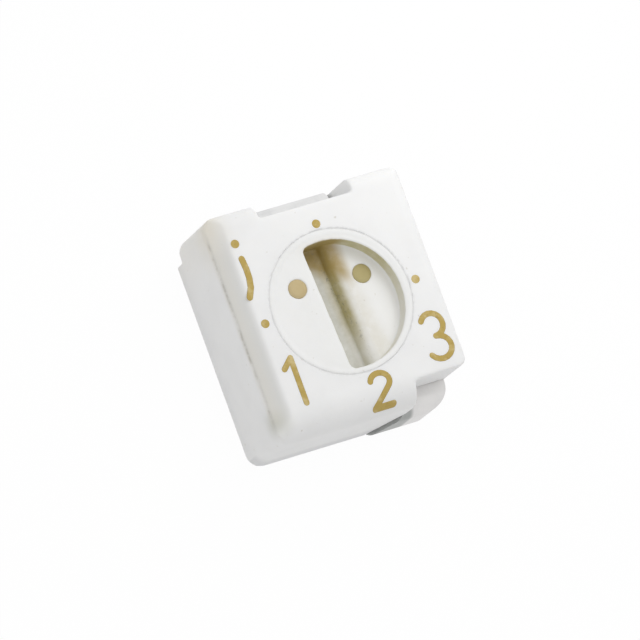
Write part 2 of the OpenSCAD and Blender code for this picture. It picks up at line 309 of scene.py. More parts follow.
    def bump(self, height: Socket, distance_mm: float, strength: float) -> Socket:
        """Disturbs the surface's normal by a height.

        Args:
            height: the height, from 0 to about 1.
            distance_mm: what a height of 1 stands for.
            strength: the share of the effect.

        Returns:
            The disturbed normal.
        """
        node = self.add("ShaderNodeBump")
        self.feed(node.inputs["Height"], height)
        node.inputs["Distance"].default_value = distance_mm * MM
        node.inputs["Strength"].default_value = strength
        return node.outputs["Normal"]

    def group(self, tree: bpy.types.NodeTree, **values: object) -> bpy.types.Node:
        """Places a node group.

        Args:
            tree: the group.
            values: what its inputs get, by name with _ in place of a space.

        Returns:
            The group's node.
        """
        node = self.add("ShaderNodeGroup", node_tree=tree)
        for key, value in values.items():
            self.feed(node.inputs[key.replace("_", " ")], value)
        return node


class Surface(Graph):
    """A material's graph, with the place on the surface in millimetres and its three parts."""

    def __init__(self, tree: bpy.types.NodeTree, degrees: float = 0.0) -> None:
        """Reads the place on the surface.

        Args:
            tree: the material's node tree.
            degrees: how far the place is turned about the Z axis.
        """
        super().__init__(tree)
        place = self.millimetres()
        self.place = self.turned(place, degrees) if degrees else place
        self.x, self.y, self.z = (self.part(self.place, axis) for axis in Axis)


class Effects:
    """Node groups that several finishes share. Each is built once, when it is first asked for."""

    CLOUDS = Cloud(0.9, 4.0, 0.6)
    SPECKS = Cloud(9.0, 1.0)
    SPECK_GAIN = 12.0
    COARSE_GRAIN = Cloud(7.0, 2.0)
    FINE_GRAIN = Cloud(34.0, 2.0)
    FINE_SHARE = 0.35
    STREAKS = Cloud(1.0, 4.0, 0.65)
    STREAK_STRETCH = Vector((26.0, 2.4, 2.4))
    SMUDGES = Cloud(2.2)
    DIMPLES = Cloud(11.0, 2.0)

    _made: dict[str, bpy.types.NodeTree] = {}

    @classmethod
    def _start(cls, name: str, inputs: dict[str, str], outputs: dict[str, str]) -> tuple[Graph, dict, dict]:
        """Starts a group.

        Args:
            name: the group's name.
            inputs: the kind of each input socket, by name.
            outputs: the kind of each output socket, by name.

        Returns:
            The graph, the input sockets and the output sockets.
        """
        tree = bpy.data.node_groups.new(name, "ShaderNodeTree")
        for key, kind in inputs.items():
            tree.interface.new_socket(key, in_out="INPUT", socket_type=kind)
        for key, kind in outputs.items():
            tree.interface.new_socket(key, in_out="OUTPUT", socket_type=kind)
        graph = Graph(tree)
        sources = graph.add("NodeGroupInput").outputs
        sinks = graph.add("NodeGroupOutput").inputs
        cls._made[name] = tree
        return graph, {key: sources[key] for key in inputs}, {key: sinks[key] for key in outputs}

    @classmethod
    def grain(cls) -> bpy.types.NodeTree:
        """Builds the fine grain of a moulded or cast skin.

        Returns:
            The group, which puts out a cloud, sparse specks and a height.
        """
        if "fine_grain" in cls._made:
            return cls._made["fine_grain"]
        graph, given, result = cls._start(
            "fine_grain",
            {"Vector": "NodeSocketVector", "Speck Limit": "NodeSocketFloat"},
            {"Cloud": "NodeSocketFloat", "Specks": "NodeSocketFloat", "Height": "NodeSocketFloat"},
        )
        place = given["Vector"]
        graph.feed(result["Cloud"], graph.noise(place, cls.CLOUDS))
        speck = graph.math("SUBTRACT", graph.noise(place, cls.SPECKS), given["Speck Limit"])
        graph.feed(result["Specks"], graph.math("MULTIPLY", speck, cls.SPECK_GAIN, clamp=True))
        fine = graph.math("MULTIPLY", graph.noise(place, cls.FINE_GRAIN), cls.FINE_SHARE)
        graph.feed(result["Height"], graph.math("ADD", graph.noise(place, cls.COARSE_GRAIN), fine))
        return cls._made["fine_grain"]

    @classmethod
    def rubbed(cls) -> bpy.types.NodeTree:
        """Builds the skin of drawn or rubbed metal.

        Returns:
            The group, which puts out fine streaks, smudges and a height.
        """
        if "rubbed_metal" in cls._made:
            return cls._made["rubbed_metal"]
        graph, given, result = cls._start(
            "rubbed_metal",
            {"Vector": "NodeSocketVector"},
            {"Streaks": "NodeSocketFloat", "Smudge": "NodeSocketFloat", "Height": "NodeSocketFloat"},
        )
        place = given["Vector"]
        streaks = graph.noise(graph.stretched(place, cls.STREAK_STRETCH), cls.STREAKS)
        graph.feed(result["Streaks"], streaks)
        graph.feed(result["Smudge"], graph.noise(place, cls.SMUDGES))
        graph.feed(result["Height"], graph.math("ADD", streaks, graph.noise(place, cls.DIMPLES)))
        return cls._made["rubbed_metal"]


# Finishes


def new_material(name: str) -> tuple[bpy.types.Material, Graph, bpy.types.Node]:
    """Starts a material.

    Args:
        name: its name.

    Returns:
        The material, its graph and its Principled shader.
    """
    material = bpy.data.materials.new(name)
    material.use_nodes = True
    graph = Graph(material.node_tree)
    return material, graph, material.node_tree.nodes["Principled BSDF"]


@dataclass(frozen=True)
class StainAndShade:
    """A colour that lies over part of a moulded surface: some are real tints and dirt, and some are painted
    shade. Lengths are in millimetres.
    """

    color: Color
    strength: float = 1.0

    def mask(self, at: Surface) -> Socket:
        """Places the layer on the surface.

        Args:
            at: the surface's graph.

        Returns:
            A mask that is 1 where the layer is full and 0 where it is absent.
        """
        raise NotImplementedError


@dataclass(frozen=True)
class HousingLines:
    """Lines of the housing that its tints, dirt and painted shades follow, in millimetres."""

    wall_x: float = -2.25
    bevel_x: float = -1.87
    front_y: float = -2.3
    back_y: float = 2.45
    groove_z: float = 2.18
    groove_start: float = -2.0
    groove_fade: Point = (-0.15, 0.25)

    def along_groove(self, at: Surface) -> Socket:
        """Returns a mask that begins where the parting groove begins, near the front."""
        return at.past(at.y, self.groove_start, self.groove_fade)


HOUSING = HousingLines()


@dataclass(frozen=True)
class CreamCorner(StainAndShade):
    """The cream tint of the back left corner, which is strongest at the top."""

    color: Color = (0.74, 0.68, 0.54)
    past_bevel: float = 0.3
    from_y: float = 0.9
    from_z: float = 1.4
    share: Point = (0.2, 0.5)

    def mask(self, at: Surface) -> Socket:
        """Places the cream tint on the surface.

        Args:
            at: the surface's graph.

        Returns:
            A mask that is 1 where the tint is full and 0 where it is absent.
        """
        across = at.rise(at.x, HOUSING.bevel_x + self.past_bevel, HOUSING.wall_x)
        along = at.rise(at.y, self.from_y, HOUSING.back_y)
        upper = at.between(at.rise(at.z, self.from_z, HOUSING.groove_z), *self.share)
        return at.product(across, along, upper)


@dataclass(frozen=True)
class PaintedBevelShade(StainAndShade):
    """Painted shade on the left bevel, which the light strikes at a grazing angle. It fades out towards
    both of its ends.
    """

    color: Color = (0.68, 0.68, 0.66)
    strength: float = 0.72
    from_bevel: Point = (0.04, -0.14)
    from_groove: Point = (-0.02, 0.05)
    front_fade: Point = (-0.4, 0.5)
    back_fade: Point = (2.3, 1.4)

    def mask(self, at: Surface) -> Socket:
        """Places the painted shade on the surface.

        Args:
            at: the surface's graph.

        Returns:
            A mask that is 1 where the painted shade is full and 0 where it is absent.
        """
        return at.product(at.past(at.x, HOUSING.bevel_x, self.from_bevel),
                          at.past(at.z, HOUSING.groove_z, self.from_groove),
                          at.rise(at.y, *self.back_fade),
                          at.past(at.y, HOUSING.groove_start, self.front_fade))


@dataclass(frozen=True)
class GreyGrooveEnd(StainAndShade):
    """A grey patch about the front end of the parting groove."""

    color: Color = (0.60, 0.60, 0.54)
    strength: float = 0.8
    inset: float = 0.1
    half_width: float = 0.42
    half_height: float = 0.5

    def mask(self, at: Surface) -> Socket:
        """Places the grey patch on the surface.

        Args:
            at: the surface's graph.

        Returns:
            A mask that is 1 where the grey patch is full and 0 where it is absent.
        """
        return at.product(at.band(at.x, HOUSING.wall_x + self.inset, self.half_width),
                          at.band(at.y, HOUSING.groove_start, self.half_width),
                          at.band(at.z, HOUSING.groove_z, self.half_height))


@dataclass(frozen=True)
class PaintedFootShade(StainAndShade):
    """Painted shade along the foot of the front face, where its lower edge rounds under. Its upper edge
    wanders a little.
    """

    color: Color = (0.73, 0.73, 0.735)
    strength: float = 0.75
    top_z: float = 0.5
    fade_z: float = 0.34
    fade_y: float = 0.05
    wander: float = 0.12
    cloud: Cloud = Cloud(1.2, 1.0)

    def mask(self, at: Surface) -> Socket:
        """Places the painted shade on the surface.

        Args:
            at: the surface's graph.

        Returns:
            A mask that is 1 where the painted shade is full and 0 where it is absent.
        """
        uneven_z = at.math("MULTIPLY_ADD", at.noise(at.place, self.cloud), self.wander, at.z)
        return at.product(at.rise(at.y, HOUSING.front_y + self.fade_y, HOUSING.front_y),
                          at.rise(uneven_z, self.top_z + self.fade_z, self.top_z))


@dataclass(frozen=True)
class GrooveSmear(StainAndShade):
    """The faint tan smear around the parting groove."""

    color: Color = (0.74, 0.68, 0.54)
    strength: float = 0.2
    inset: float = 0.08
    half_width: float = 0.3
    lift: float = 0.06
    half_height: float = 0.26

    def mask(self, at: Surface) -> Socket:
        """Places the smear on the surface.

        Args:
            at: the surface's graph.

        Returns:
            A mask that is 1 where the smear is full and 0 where it is absent.
        """
        return at.product(at.band(at.x, HOUSING.wall_x + self.inset, self.half_width),
                          HOUSING.along_groove(at),
                          at.band(at.z, HOUSING.groove_z + self.lift, self.half_height))


@dataclass(frozen=True)
class GrooveDirt(StainAndShade):
    """The dirt in the parting groove, broken up into crumbs."""

    color: Color = (0.34, 0.31, 0.24)
    half_width: float = 0.16
    half_height: float = 0.055
    back_fade: Point = (2.1, 1.8)
    crumbs: Cloud = Cloud(1.9, 6.0, 0.75, 0.42, 0.66)
    share: Point = (0.12, 0.67)

    def mask(self, at: Surface) -> Socket:
        """Places the dirt on the surface.

        Args:
            at: the surface's graph.

        Returns:
            A mask that is 1 where the dirt is full and 0 where it is absent.
        """
        return at.product(at.band(at.x, HOUSING.wall_x, self.half_width),
                          HOUSING.along_groove(at), at.rise(at.y, *self.back_fade),
                          at.band(at.z, HOUSING.groove_z, self.half_height),
                          at.between(at.patches(at.place, self.crumbs), *self.share))


@dataclass(frozen=True)
class RecessLines:
    """Lines of the rotor's recess that its painted shades and crumbs follow, in millimetres, with Y along
    the slot.
    """

    turn: float = 3.0  # how far the slot is turned from the Y axis, in degrees
    radius: float = 1.47
    top_z: float = 2.42
    floor_z: float = 2.05
    slot_z: float = 1.74
    flat_x: float = -0.35
    slot_edge_x: float = 0.31
    wall_fade: Point = (0.02, -0.02)
    underside_fade: Point = (-0.1, -0.05)
    top_fade: Point = (0.01, -0.05)
    slot_fade: Point = (0.0, -0.12)
    lean: float = 0.1  # how far the slot's edge leans over, for each millimetre along Y
    cloud: Cloud = Cloud(3.2, 4.0, 0.65, 0.25, 0.7)


RECESS = RecessLines()


class RecessSurface(Surface):
    """The rotor's surface, turned so that Y runs along the slot, with masks that its painted shades and
    crumbs share.
    """

    def __init__(self, tree: bpy.types.NodeTree) -> None:
        """Works out the shared masks.

        Args:
            tree: the material's node tree.
        """
        super().__init__(tree, -RECESS.turn)
        y_squared = self.math("MULTIPLY", self.y, self.y)
        radius = self.math("SQRT", self.math("MULTIPLY_ADD", self.x, self.x, y_squared))
        self.inside = self.product(self.past(radius, RECESS.radius, RECESS.wall_fade),
                                   self.past(self.z, RECESS.slot_z, RECESS.underside_fade))
        self.below = self.past(self.z, RECESS.top_z, RECESS.top_fade)
        self.in_slot = self.product(self.inside, self.past(self.z, RECESS.floor_z, RECESS.slot_fade))
        self.cloudy = self.patches(self.place, RECESS.cloud)
        self.leaning_x = self.math("MULTIPLY_ADD", self.y, RECESS.lean, self.x)


@dataclass(frozen=True)
class PaintedFloorShade(StainAndShade):
    """Painted warm shade on the recess floor along the slot's edge, from light that bounces off the ivory
    walls.
    """

    color: Color = (0.62, 0.57, 0.43)
    from_edge: float = 0.16
    half_width: float = 0.38
    back_fade: Point = (1.3, 0.2)
    share: Point = (0.12, 0.37)

    def mask(self, at: RecessSurface) -> Socket:
        """Places the painted shade on the surface.

        Args:
            at: the surface's graph.

        Returns:
            A mask that is 1 where the painted shade is full and 0 where it is absent.
        """
        return at.product(at.inside, at.below,
                          at.band(at.leaning_x, RECESS.slot_edge_x + self.from_edge, self.half_width),
                          at.rise(at.y, *self.back_fade), at.between(at.cloudy, *self.share))


@dataclass(frozen=True)
class SlotShade(StainAndShade):
    """Painted shade on the slot's level floor, which makes it greyer."""

    color: Color = (0.57, 0.565, 0.515)
    from_edge: Point = (-0.04, -0.26)
    share: Point = (0.55, 0.95)

    def mask(self, at: RecessSurface) -> Socket:
        """Places the painted shade on the surface.

        Args:
            at: the surface's graph.

        Returns:
            A mask that is 1 where the painted shade is full and 0 where it is absent.
        """
        return at.product(at.in_slot, at.past(at.x, RECESS.slot_edge_x, self.from_edge),
                          at.between(at.cloudy, *self.share))


@dataclass(frozen=True)
class PaintedWallShade(StainAndShade):
    """Painted warm shade on the recess's upright walls, from light that bounces between them; it is
    stronger towards the back.
    """

    color: Color = (0.50, 0.45, 0.20)
    upright: Point = (0.7, 0.25)
    share: Point = (0.6, 0.9)
    along: Point = (-0.9, 0.9)
    along_share: Point = (0.3, 1.0)

    def mask(self, at: RecessSurface) -> Socket:
        """Places the painted shade on the surface.

        Args:
            at: the surface's graph.

        Returns:
            A mask that is 1 where the painted shade is full and 0 where it is absent.
        """
        return at.product(at.inside, at.rise(at.facing_up(), *self.upright), at.below,
                          at.between(at.cloudy, *self.share),
                          at.between(at.rise(at.y, *self.along), *self.along_share))


@dataclass(frozen=True)
class PaintedEdgeShade(StainAndShade):
    """Painted olive shade along the slot's edge, whose steep roll-over faces away from the light; it is
    paler in front.
    """

    color: Color = (0.43, 0.37, 0.15)
    half_width: float = 0.34
    along: Point = (-1.2, -0.2)
    along_share: Point = (0.2, 1.0)
    share: Point = (0.66, 0.96)

    def mask(self, at: RecessSurface) -> Socket:
        """Places the painted shade on the surface.

        Args:
            at: the surface's graph.

        Returns:
            A mask that is 1 where the painted shade is full and 0 where it is absent.
        """
        return at.product(at.in_slot, at.band(at.x, RECESS.slot_edge_x, self.half_width),
                          at.between(at.rise(at.y, *self.along), *self.along_share),
                          at.between(at.cloudy, *self.share))


@dataclass(frozen=True)
class PaintedEndShade(StainAndShade):
    """Painted brown shade in the slot's deep back end. Its front edge runs slantwise."""

    color: Color = (0.40, 0.29, 0.09)
    slant: float = 0.8
    along: Point = (0.6, 1.05)
    from_edge: Point = (0.4, 0.1)
    share: Point = (0.72, 0.92)

    def mask(self, at: RecessSurface) -> Socket:
        """Places the painted shade on the surface.

        Args:
            at: the surface's graph.

        Returns:
            A mask that is 1 where the painted shade is full and 0 where it is absent.
        """
        slanted = at.math("MULTIPLY_ADD", at.x, self.slant, at.y)
        return at.product(at.inside, at.below, at.rise(slanted, *self.along),
                          at.past(at.x, RECESS.slot_edge_x, self.from_edge),
                          at.between(at.cloudy, *self.share))


@dataclass(frozen=True)
class SlotCrumbs(StainAndShade):
    """Dark specks beside the flat wall and just below the slot's edge."""

    color: Color = (0.22, 0.21, 0.19)
    strength: float = 0.55
    from_flat: Point = (0.34, 0.0)
    below_edge: float = 0.06
    half_width: float = 0.09
    specks: Cloud = Cloud(15.0, 2.0, 0.7, 0.54, 0.7)

    def mask(self, at: RecessSurface) -> Socket:
        """Places the crumbs on the surface.

        Args:
            at: the surface's graph.

        Returns:
            A mask that is 1 where the crumbs are full and 0 where they are absent.
        """
        beside_flat = at.past(at.x, RECESS.flat_x, self.from_flat)
        below_edge = at.band(at.leaning_x, RECESS.slot_edge_x - self.below_edge, self.half_width)
        return at.product(at.in_slot, at.math("MAXIMUM", beside_flat, below_edge),
                          at.patches(at.place, self.specks))


@dataclass(frozen=True)
class MouldedPlastic:
    """Pale moulded plastic with a fine matt skin, faint clouds, sparse specks and its own tints, dirt and
    painted shades.
    """

    name: str
    color: Color
    shade: Color
    roughness: float = 0.5
    speck: Color = (0.50, 0.45, 0.36)
    speck_limit: float = 0.74
    speck_share: float = 0.4
    shade_fade: Point = (0.35, 0.75)
    roughness_spread: float = 0.08
    grain_mm: float = 0.006
    grain_strength: float = 0.35
    specular: float = 0.4
    glow: float = 0.12
    glow_reach: Color = (1.0, 0.95, 0.85)
    glow_mm: float = 0.25
    surface: type[Surface] = Surface
    stains_and_shades: tuple[StainAndShade, ...] = ()

    def build(self) -> bpy.types.Material:
        """Builds the finish, with its tints, dirt and painted shades laid over each other in their order.

        Returns:
            The material.
        """
        material, graph, shader = new_material(self.name)
        grain = graph.group(Effects.grain(), Vector=graph.millimetres(), Speck_Limit=self.speck_limit)
        cloud = grain.outputs["Cloud"]
        color = graph.mix(graph.rise(cloud, *self.shade_fade), self.color, self.shade)
        color = graph.mix(graph.product(grain.outputs["Specks"], self.speck_share), color, self.speck)
        if self.stains_and_shades:
            at = self.surface(material.node_tree)
            # Some layers are real tints and dirt, and some are painted shade.
            for stain_and_shade in self.stains_and_shades:
                color = graph.mix(graph.product(stain_and_shade.mask(at), stain_and_shade.strength), color, stain_and_shade.color)
        rough = graph.about(self.roughness, self.roughness_spread, cloud)
        bump = graph.bump(grain.outputs["Height"], self.grain_mm, self.grain_strength)
        graph.feed(shader.inputs["Base Color"], color)
        graph.feed(shader.inputs["Roughness"], rough)
        graph.feed(shader.inputs["Normal"], bump)
        graph.feed(shader.inputs["Specular IOR Level"], self.specular)
        graph.feed(shader.inputs["Subsurface Weight"], self.glow)
        graph.feed(shader.inputs["Subsurface Radius"], self.glow_reach)
        graph.feed(shader.inputs["Subsurface Scale"], self.glow_mm * MM)
        return material


@dataclass(frozen=True)
class PlatedMetal:
    """Metal with a thin soft plating: fine streaks, smudges, dull patches and, if asked for, a painted
    shadow at one end.
    """

    name: str
    color: Color
    dull: Color
    roughness: float = 0.32
    roughness_spread: float = 0.15
    dull_fade: Point = (0.4, 0.72)
    streak_mm: float = 0.004
    streak_strength: float = 0.4
    metallic: float = 1.0
    # the colour of the painted shadow
    dark: Color = (0.35, 0.36, 0.35)
    painted_shadow_x: Point | None = None  # where the painted shadow turns into the plate's own colour

    def build(self) -> bpy.types.Material:
        """Builds the finish.

        Returns:
            The material.
        """
        material, graph, shader = new_material(self.name)
        place = graph.millimetres()
        rubbed = graph.group(Effects.rubbed(), Vector=place)
        color = graph.mix(graph.rise(rubbed.outputs["Smudge"], *self.dull_fade), self.color, self.dull)
        if self.painted_shadow_x:
            color = graph.mix(graph.rise(graph.part(place, Axis.X), *self.painted_shadow_x), self.dark, color)
        rough = graph.about(self.roughness, self.roughness_spread, rubbed.outputs["Streaks"])
        bump = graph.bump(rubbed.outputs["Height"], self.streak_mm, self.streak_strength)
        graph.feed(shader.inputs["Base Color"], color)
        graph.feed(shader.inputs["Roughness"], rough)
        graph.feed(shader.inputs["Normal"], bump)
        graph.feed(shader.inputs["Metallic"], self.metallic)
        return material


MOTTLE = Cloud(4.0, 4.0, 0.6, 0.35, 0.7)


@dataclass(frozen=True)
class FiredSurface:
    """Ceramic, printed film, cast compound or rubber: a mottled skin with a small-scale roughness."""

    name: str
    color: Color
    mottle: Color
    roughness: float
    mottle_cloud: Cloud = MOTTLE
    bump_mm: float = 0.006
    bump_strength: float = 0.5
    metallic: float = 0.0
    speck_limit: float = 0.66
    roughness_spread: float = 0.1

    def build(self) -> bpy.types.Material:
        """Builds the finish.

        Returns:
            The material.
        """
        material, graph, shader = new_material(self.name)
        place = graph.millimetres()
        grain = graph.group(Effects.grain(), Vector=place, Speck_Limit=self.speck_limit)
        mottle = graph.patches(place, self.mottle_cloud)
        rough = graph.about(self.roughness, self.roughness_spread, grain.outputs["Cloud"])
        bump = graph.bump(grain.outputs["Height"], self.bump_mm, self.bump_strength)
        graph.feed(shader.inputs["Base Color"], graph.mix(mottle, self.color, self.mottle))
        graph.feed(shader.inputs["Roughness"], rough)
        graph.feed(shader.inputs["Normal"], bump)
        graph.feed(shader.inputs["Metallic"], self.metallic)
        return material


@dataclass(frozen=True)
class MarkInk:
    """The tan of the marks on the face: mottled, with paler and darker spots."""

    name: str = "tan_marks"
    color: Color = (0.47, 0.34, 0.09)
    pale: Color = (0.62, 0.50, 0.24)
    pale_cloud: Cloud = Cloud(5.0, 3.0, 0.55, 0.45, 0.75)
    dark: Color = (0.34, 0.23, 0.05)
    dark_cloud: Cloud = Cloud(11.0, 3.0, 0.7, 0.55, 0.8)
    grain: Cloud = Cloud(24.0, 2.0)
    grain_mm: float = 0.004
    grain_strength: float = 0.4
    roughness: Point = (0.5, 0.7)

    def build(self) -> bpy.types.Material:
        """Builds the finish.

        Returns:
            The material.
        """
        material, graph, shader = new_material(self.name)
        place = graph.millimetres()
        color = graph.mix(graph.patches(place, self.pale_cloud), self.color, self.pale)
        color = graph.mix(graph.patches(place, self.dark_cloud), color, self.dark)
        height = graph.noise(place, self.grain)
        graph.feed(shader.inputs["Base Color"], color)
        graph.feed(shader.inputs["Normal"], graph.bump(height, self.grain_mm, self.grain_strength))
        graph.feed(shader.inputs["Roughness"], graph.between(height, *self.roughness))
        return material


# Of the housing's layers, the bevel's and the foot's are painted shade.
WHITE_PLASTIC = MouldedPlastic(
    "white_housing_plastic", (0.88, 0.88, 0.875), (0.85, 0.85, 0.845),
    stains_and_shades=(CreamCorner(), PaintedBevelShade(), GreyGrooveEnd(), PaintedFootShade(), GrooveSmear(), GrooveDirt()))
FRAME_PLASTIC = MouldedPlastic("white_frame_plastic", (0.86, 0.86, 0.855), (0.82, 0.82, 0.81))
# The rotor's recess layers are painted shade, warm where light bounces about the ivory recess; only the
# crumbs are dirt.
IVORY_PLASTIC = MouldedPlastic(
    "ivory_rotor_plastic", (0.88, 0.88, 0.87), (0.85, 0.85, 0.835), surface=RecessSurface,
    stains_and_shades=(PaintedFloorShade(), SlotShade(), PaintedWallShade(), PaintedEdgeShade(), PaintedEndShade(), SlotCrumbs()))
TAN_PLASTIC = MouldedPlastic("tan_pin_plastic", (0.56, 0.45, 0.25), (0.50, 0.39, 0.19), 0.45, glow=0.05)
OLIVE_PLASTIC = MouldedPlastic("olive_pin_plastic", (0.46, 0.395, 0.19), (0.41, 0.345, 0.15), 0.45,
                               glow=0.05)
TIN_PLATE = PlatedMetal("tin_plated_terminal", (0.80, 0.80, 0.795), (0.70, 0.70, 0.70), 0.42)
# The right terminal's plate is painted darker all over, with a painted shadow on the part that passes under
# the front block.
SHADED_TIN_PLATE = PlatedMetal("shaded_tin_plated_terminal", (0.70, 0.69, 0.68), (0.66, 0.65, 0.645), 0.42,
                               painted_shadow_x=(1.08, 1.2))
SOLDER = PlatedMetal("bright_solder", (0.70, 0.70, 0.70), (0.52, 0.52, 0.53), 0.28)
SPRING_ALLOY = PlatedMetal("spring_alloy", (0.83, 0.70, 0.44), (0.70, 0.56, 0.32), 0.3)
CERAMIC = FiredSurface("fired_ceramic", (0.86, 0.85, 0.82), (0.80, 0.79, 0.75), 0.55)
RESISTIVE_FILM = FiredSurface("resistive_film", (0.035, 0.034, 0.036), (0.065, 0.06, 0.06), 0.4,
                              replace(MOTTLE, scale=12.0))
SILVER_FILM = FiredSurface("silver_film", (0.76, 0.74, 0.70), (0.62, 0.60, 0.56), 0.42,
                           replace(MOTTLE, scale=12.0), metallic=0.85)
COMPOUND = FiredSurface("sealing_compound", (0.27, 0.25, 0.20), (0.21, 0.19, 0.15), 0.3,
                        replace(MOTTLE, scale=1.4), bump_mm=0.03)
RUBBER = FiredSurface("seal_rubber", (0.30, 0.075, 0.04), (0.24, 0.06, 0.035), 0.6,
                      replace(MOTTLE, scale=6.0))


# Meshes


def link_mesh(name: str, mesh: bpy.types.Mesh) -> bpy.types.Object:
    """Puts a mesh in the scene as an object at the origin.

    Args:
        name: the object's name.
        mesh: its mesh, with its place in the vertices.

    Returns:
        The object.
    """
    piece = bpy.data.objects.new(name, mesh)
    bpy.context.scene.collection.objects.link(piece)
    return piece


def applied(piece: bpy.types.Object) -> bpy.types.Mesh:
    """Applies an object's modifiers and removes the object.

    Args:
        piece: the object.

    Returns:
        Its finished mesh.
    """
    depsgraph = bpy.context.evaluated_depsgraph_get()
    mesh = bpy.data.meshes.new_from_object(piece.evaluated_get(depsgraph))
    bpy.data.objects.remove(piece)
    return mesh


def dress(piece: bpy.types.Object, material: bpy.types.Material) -> None:
    """Gives an object one material and no other."""
    piece.data.materials.clear()
    piece.data.materials.append(material)


def mesh_of(name: str, work: bmesh.types.BMesh) -> bpy.types.Mesh:
    """Makes a mesh of what a bmesh holds, and frees the bmesh.

    Args:
        name: the mesh's name.
        work: the bmesh.

    Returns:
        The new mesh.
    """
    mesh = bpy.data.meshes.new(name)
    work.to_mesh(mesh)
    work.free()
    return mesh


def finished(name: str, mesh: bpy.types.Mesh) -> bpy.types.Object:
    """Brings a mesh from millimetres to metres, shades it smooth and puts it in the scene.

    Args:
        name: the object's name.
        mesh: the mesh.

    Returns:
        The object.
    """
    mesh.transform(Matrix.Scale(MM, 4))
    mesh.shade_smooth()
    return link_mesh(name, mesh)


@dataclass(frozen=True)
class Rim:
    """A round top edge about the rotor axis that stays sharp, because another piece runs close to it."""

    radius: float
    top: float
    reach: float = 0.14

    def softness(self, place: Vector) -> float:
        """Says how much a place may be rounded.

        Args:
            place: the place in millimetres.

        Returns:
            0 at the rim, and up to 1 beyond its reach.
        """
        away = math.hypot(math.hypot(place.x, place.y) - self.radius, place.z - self.top)
        share = min(away / self.reach, 1.0)
        return share * share * (3 - 2 * share)

    def seat(self, place: Vector, slack: float) -> Vector:
        """Puts a place near the rim onto its upright wall and its level top.

        Args:
            place: the place in millimetres.
            slack: how far off the wall or the top it may be.

        Returns:
            The new place.
        """
        radius = math.hypot(place.x, place.y)
        scale = self.radius / radius if abs(radius - self.radius) < slack else 1.0
        top = self.top if abs(place.z - self.top) < slack else place.z
        return Vector((place.x * scale, place.y * scale, top))


class Detail:
    """A small change to a softened mesh, before and after its edges are rounded."""

    def fill(self, work: bmesh.types.BMesh) -> None:
        """Changes the CAD form in millimetres before it is remeshed. As it stands, nothing is changed."""

    def press(self, place: Vector) -> Vector:
        """Returns a place on the finished mesh after the change, in millimetres."""
        return place


@dataclass(frozen=True)
class Crease(Detail):
    """The fine parting groove along the left wall, pressed into a mesh too coarse for its CAD form."""

    wall_x: float = HOUSING.wall_x
    level: float = HOUSING.groove_z
    half_length: float = 2.14
    half_height: float = 0.02
    depth: float = 0.028
    reach: float = 0.065
    end_fade: float = 0.1
    filler_t: float = 0.1

    def fill(self, work: bmesh.types.BMesh) -> None:
        """Fills the CAD node's own groove with a thin bar that ends flush with the wall.

        Args:
            work: the CAD form in millimetres.
        """
        size = Vector((self.filler_t, 2 * self.half_length, 2 * self.half_height))
        middle = Vector((self.wall_x + size.x / 2, 0.0, self.level))
        place = Matrix.Translation(middle) @ Matrix.Diagonal(size).to_4x4()
        bmesh.ops.create_cube(work, size=1.0, matrix=place)

    def press(self, place: Vector) -> Vector:
        """Presses the groove into the wall.

        Args:
            place: a place on the mesh, in millimetres.

        Returns:
            The place after it.
        """
        if place.x > self.wall_x + self.reach:
            return place
        across = min(abs(place.z - self.level) / self.reach, 1.0)
        to_end = self.half_length + self.end_fade - abs(place.y)
        along = min(max(to_end / (2 * self.end_fade), 0.0), 1.0)
        return place + Vector((self.depth * (1 - across ** 2) ** 2 * along, 0.0, 0.0))


@dataclass(frozen=True)
class Lug(Detail):
    """The rotor's stop lug and flange, drawn in so that they clear the housing's coarser inner mesh."""

    neck_r: float = 1.45
    flange_r: float = 1.62
    top: float = 1.65
    slack: float = 0.012
    narrowing: float = 0.94

    def press(self, place: Vector) -> Vector:
        """Draws the lug and the flange in.

        Args:
            place: a place on the mesh, in millimetres.

        Returns:
            The place after it.
        """
        radius = math.hypot(place.x, place.y)
        if place.z > self.top or radius < self.neck_r:
            return place
        scale = 1 - self.slack / radius
        across = self.narrowing if radius > self.flange_r else 1.0
        return Vector((place.x * scale * across, place.y * scale, place.z - self.slack))


def softened(node: str, name: str, voxel_mm: float, passes: int, rim: Rim,
             detail: Detail) -> bpy.types.Object:
    """Makes a moulded piece from a CAD node's form, with its edges rounded as a mould rounds them.

    Args:
        node: the CAD node whose form is followed.
        name: the new object's name.
        voxel_mm: the mesh size.
        passes: how many smoothing passes round the edges.
        rim: the edge that stays sharp.
        detail: the small change that the piece gets.

    Returns:
        The new object.
    """
    work = bmesh.new()
    work.from_mesh(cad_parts[node].data)
    bmesh.ops.scale(work, vec=Vector((1, 1, 1)) / MM, verts=work.verts)
    bmesh.ops.remove_doubles(work, verts=work.verts, dist=MERGE_MM)
    detail.fill(work)
    draft = link_mesh(name + "_draft", mesh_of(name, work))
    remesh = draft.modifiers.new("even_mesh", "REMESH")
    remesh.mode = "VOXEL"
    remesh.voxel_size = voxel_mm
    draft = link_mesh(name + "_draft", applied(draft))
    soft = draft.vertex_groups.new(name="soft")
    for vertex in draft.data.vertices:
        weight = rim.softness(vertex.co)
        soft.add((vertex.index,), weight, "REPLACE")
        if weight < SEAT_SOFTNESS:
            vertex.co = rim.seat(vertex.co, voxel_mm * SEAT_REACH)
    smooth = draft.modifiers.new("rounded_edges", "SMOOTH")
    smooth.factor = SMOOTH_FACTOR
    smooth.iterations = passes
    smooth.vertex_group = soft.name
    mesh = applied(draft)
    mesh.name = name
    for vertex in mesh.vertices:
        vertex.co = detail.press(vertex.co)
    return finished(name, mesh)


# Sub-assemblies


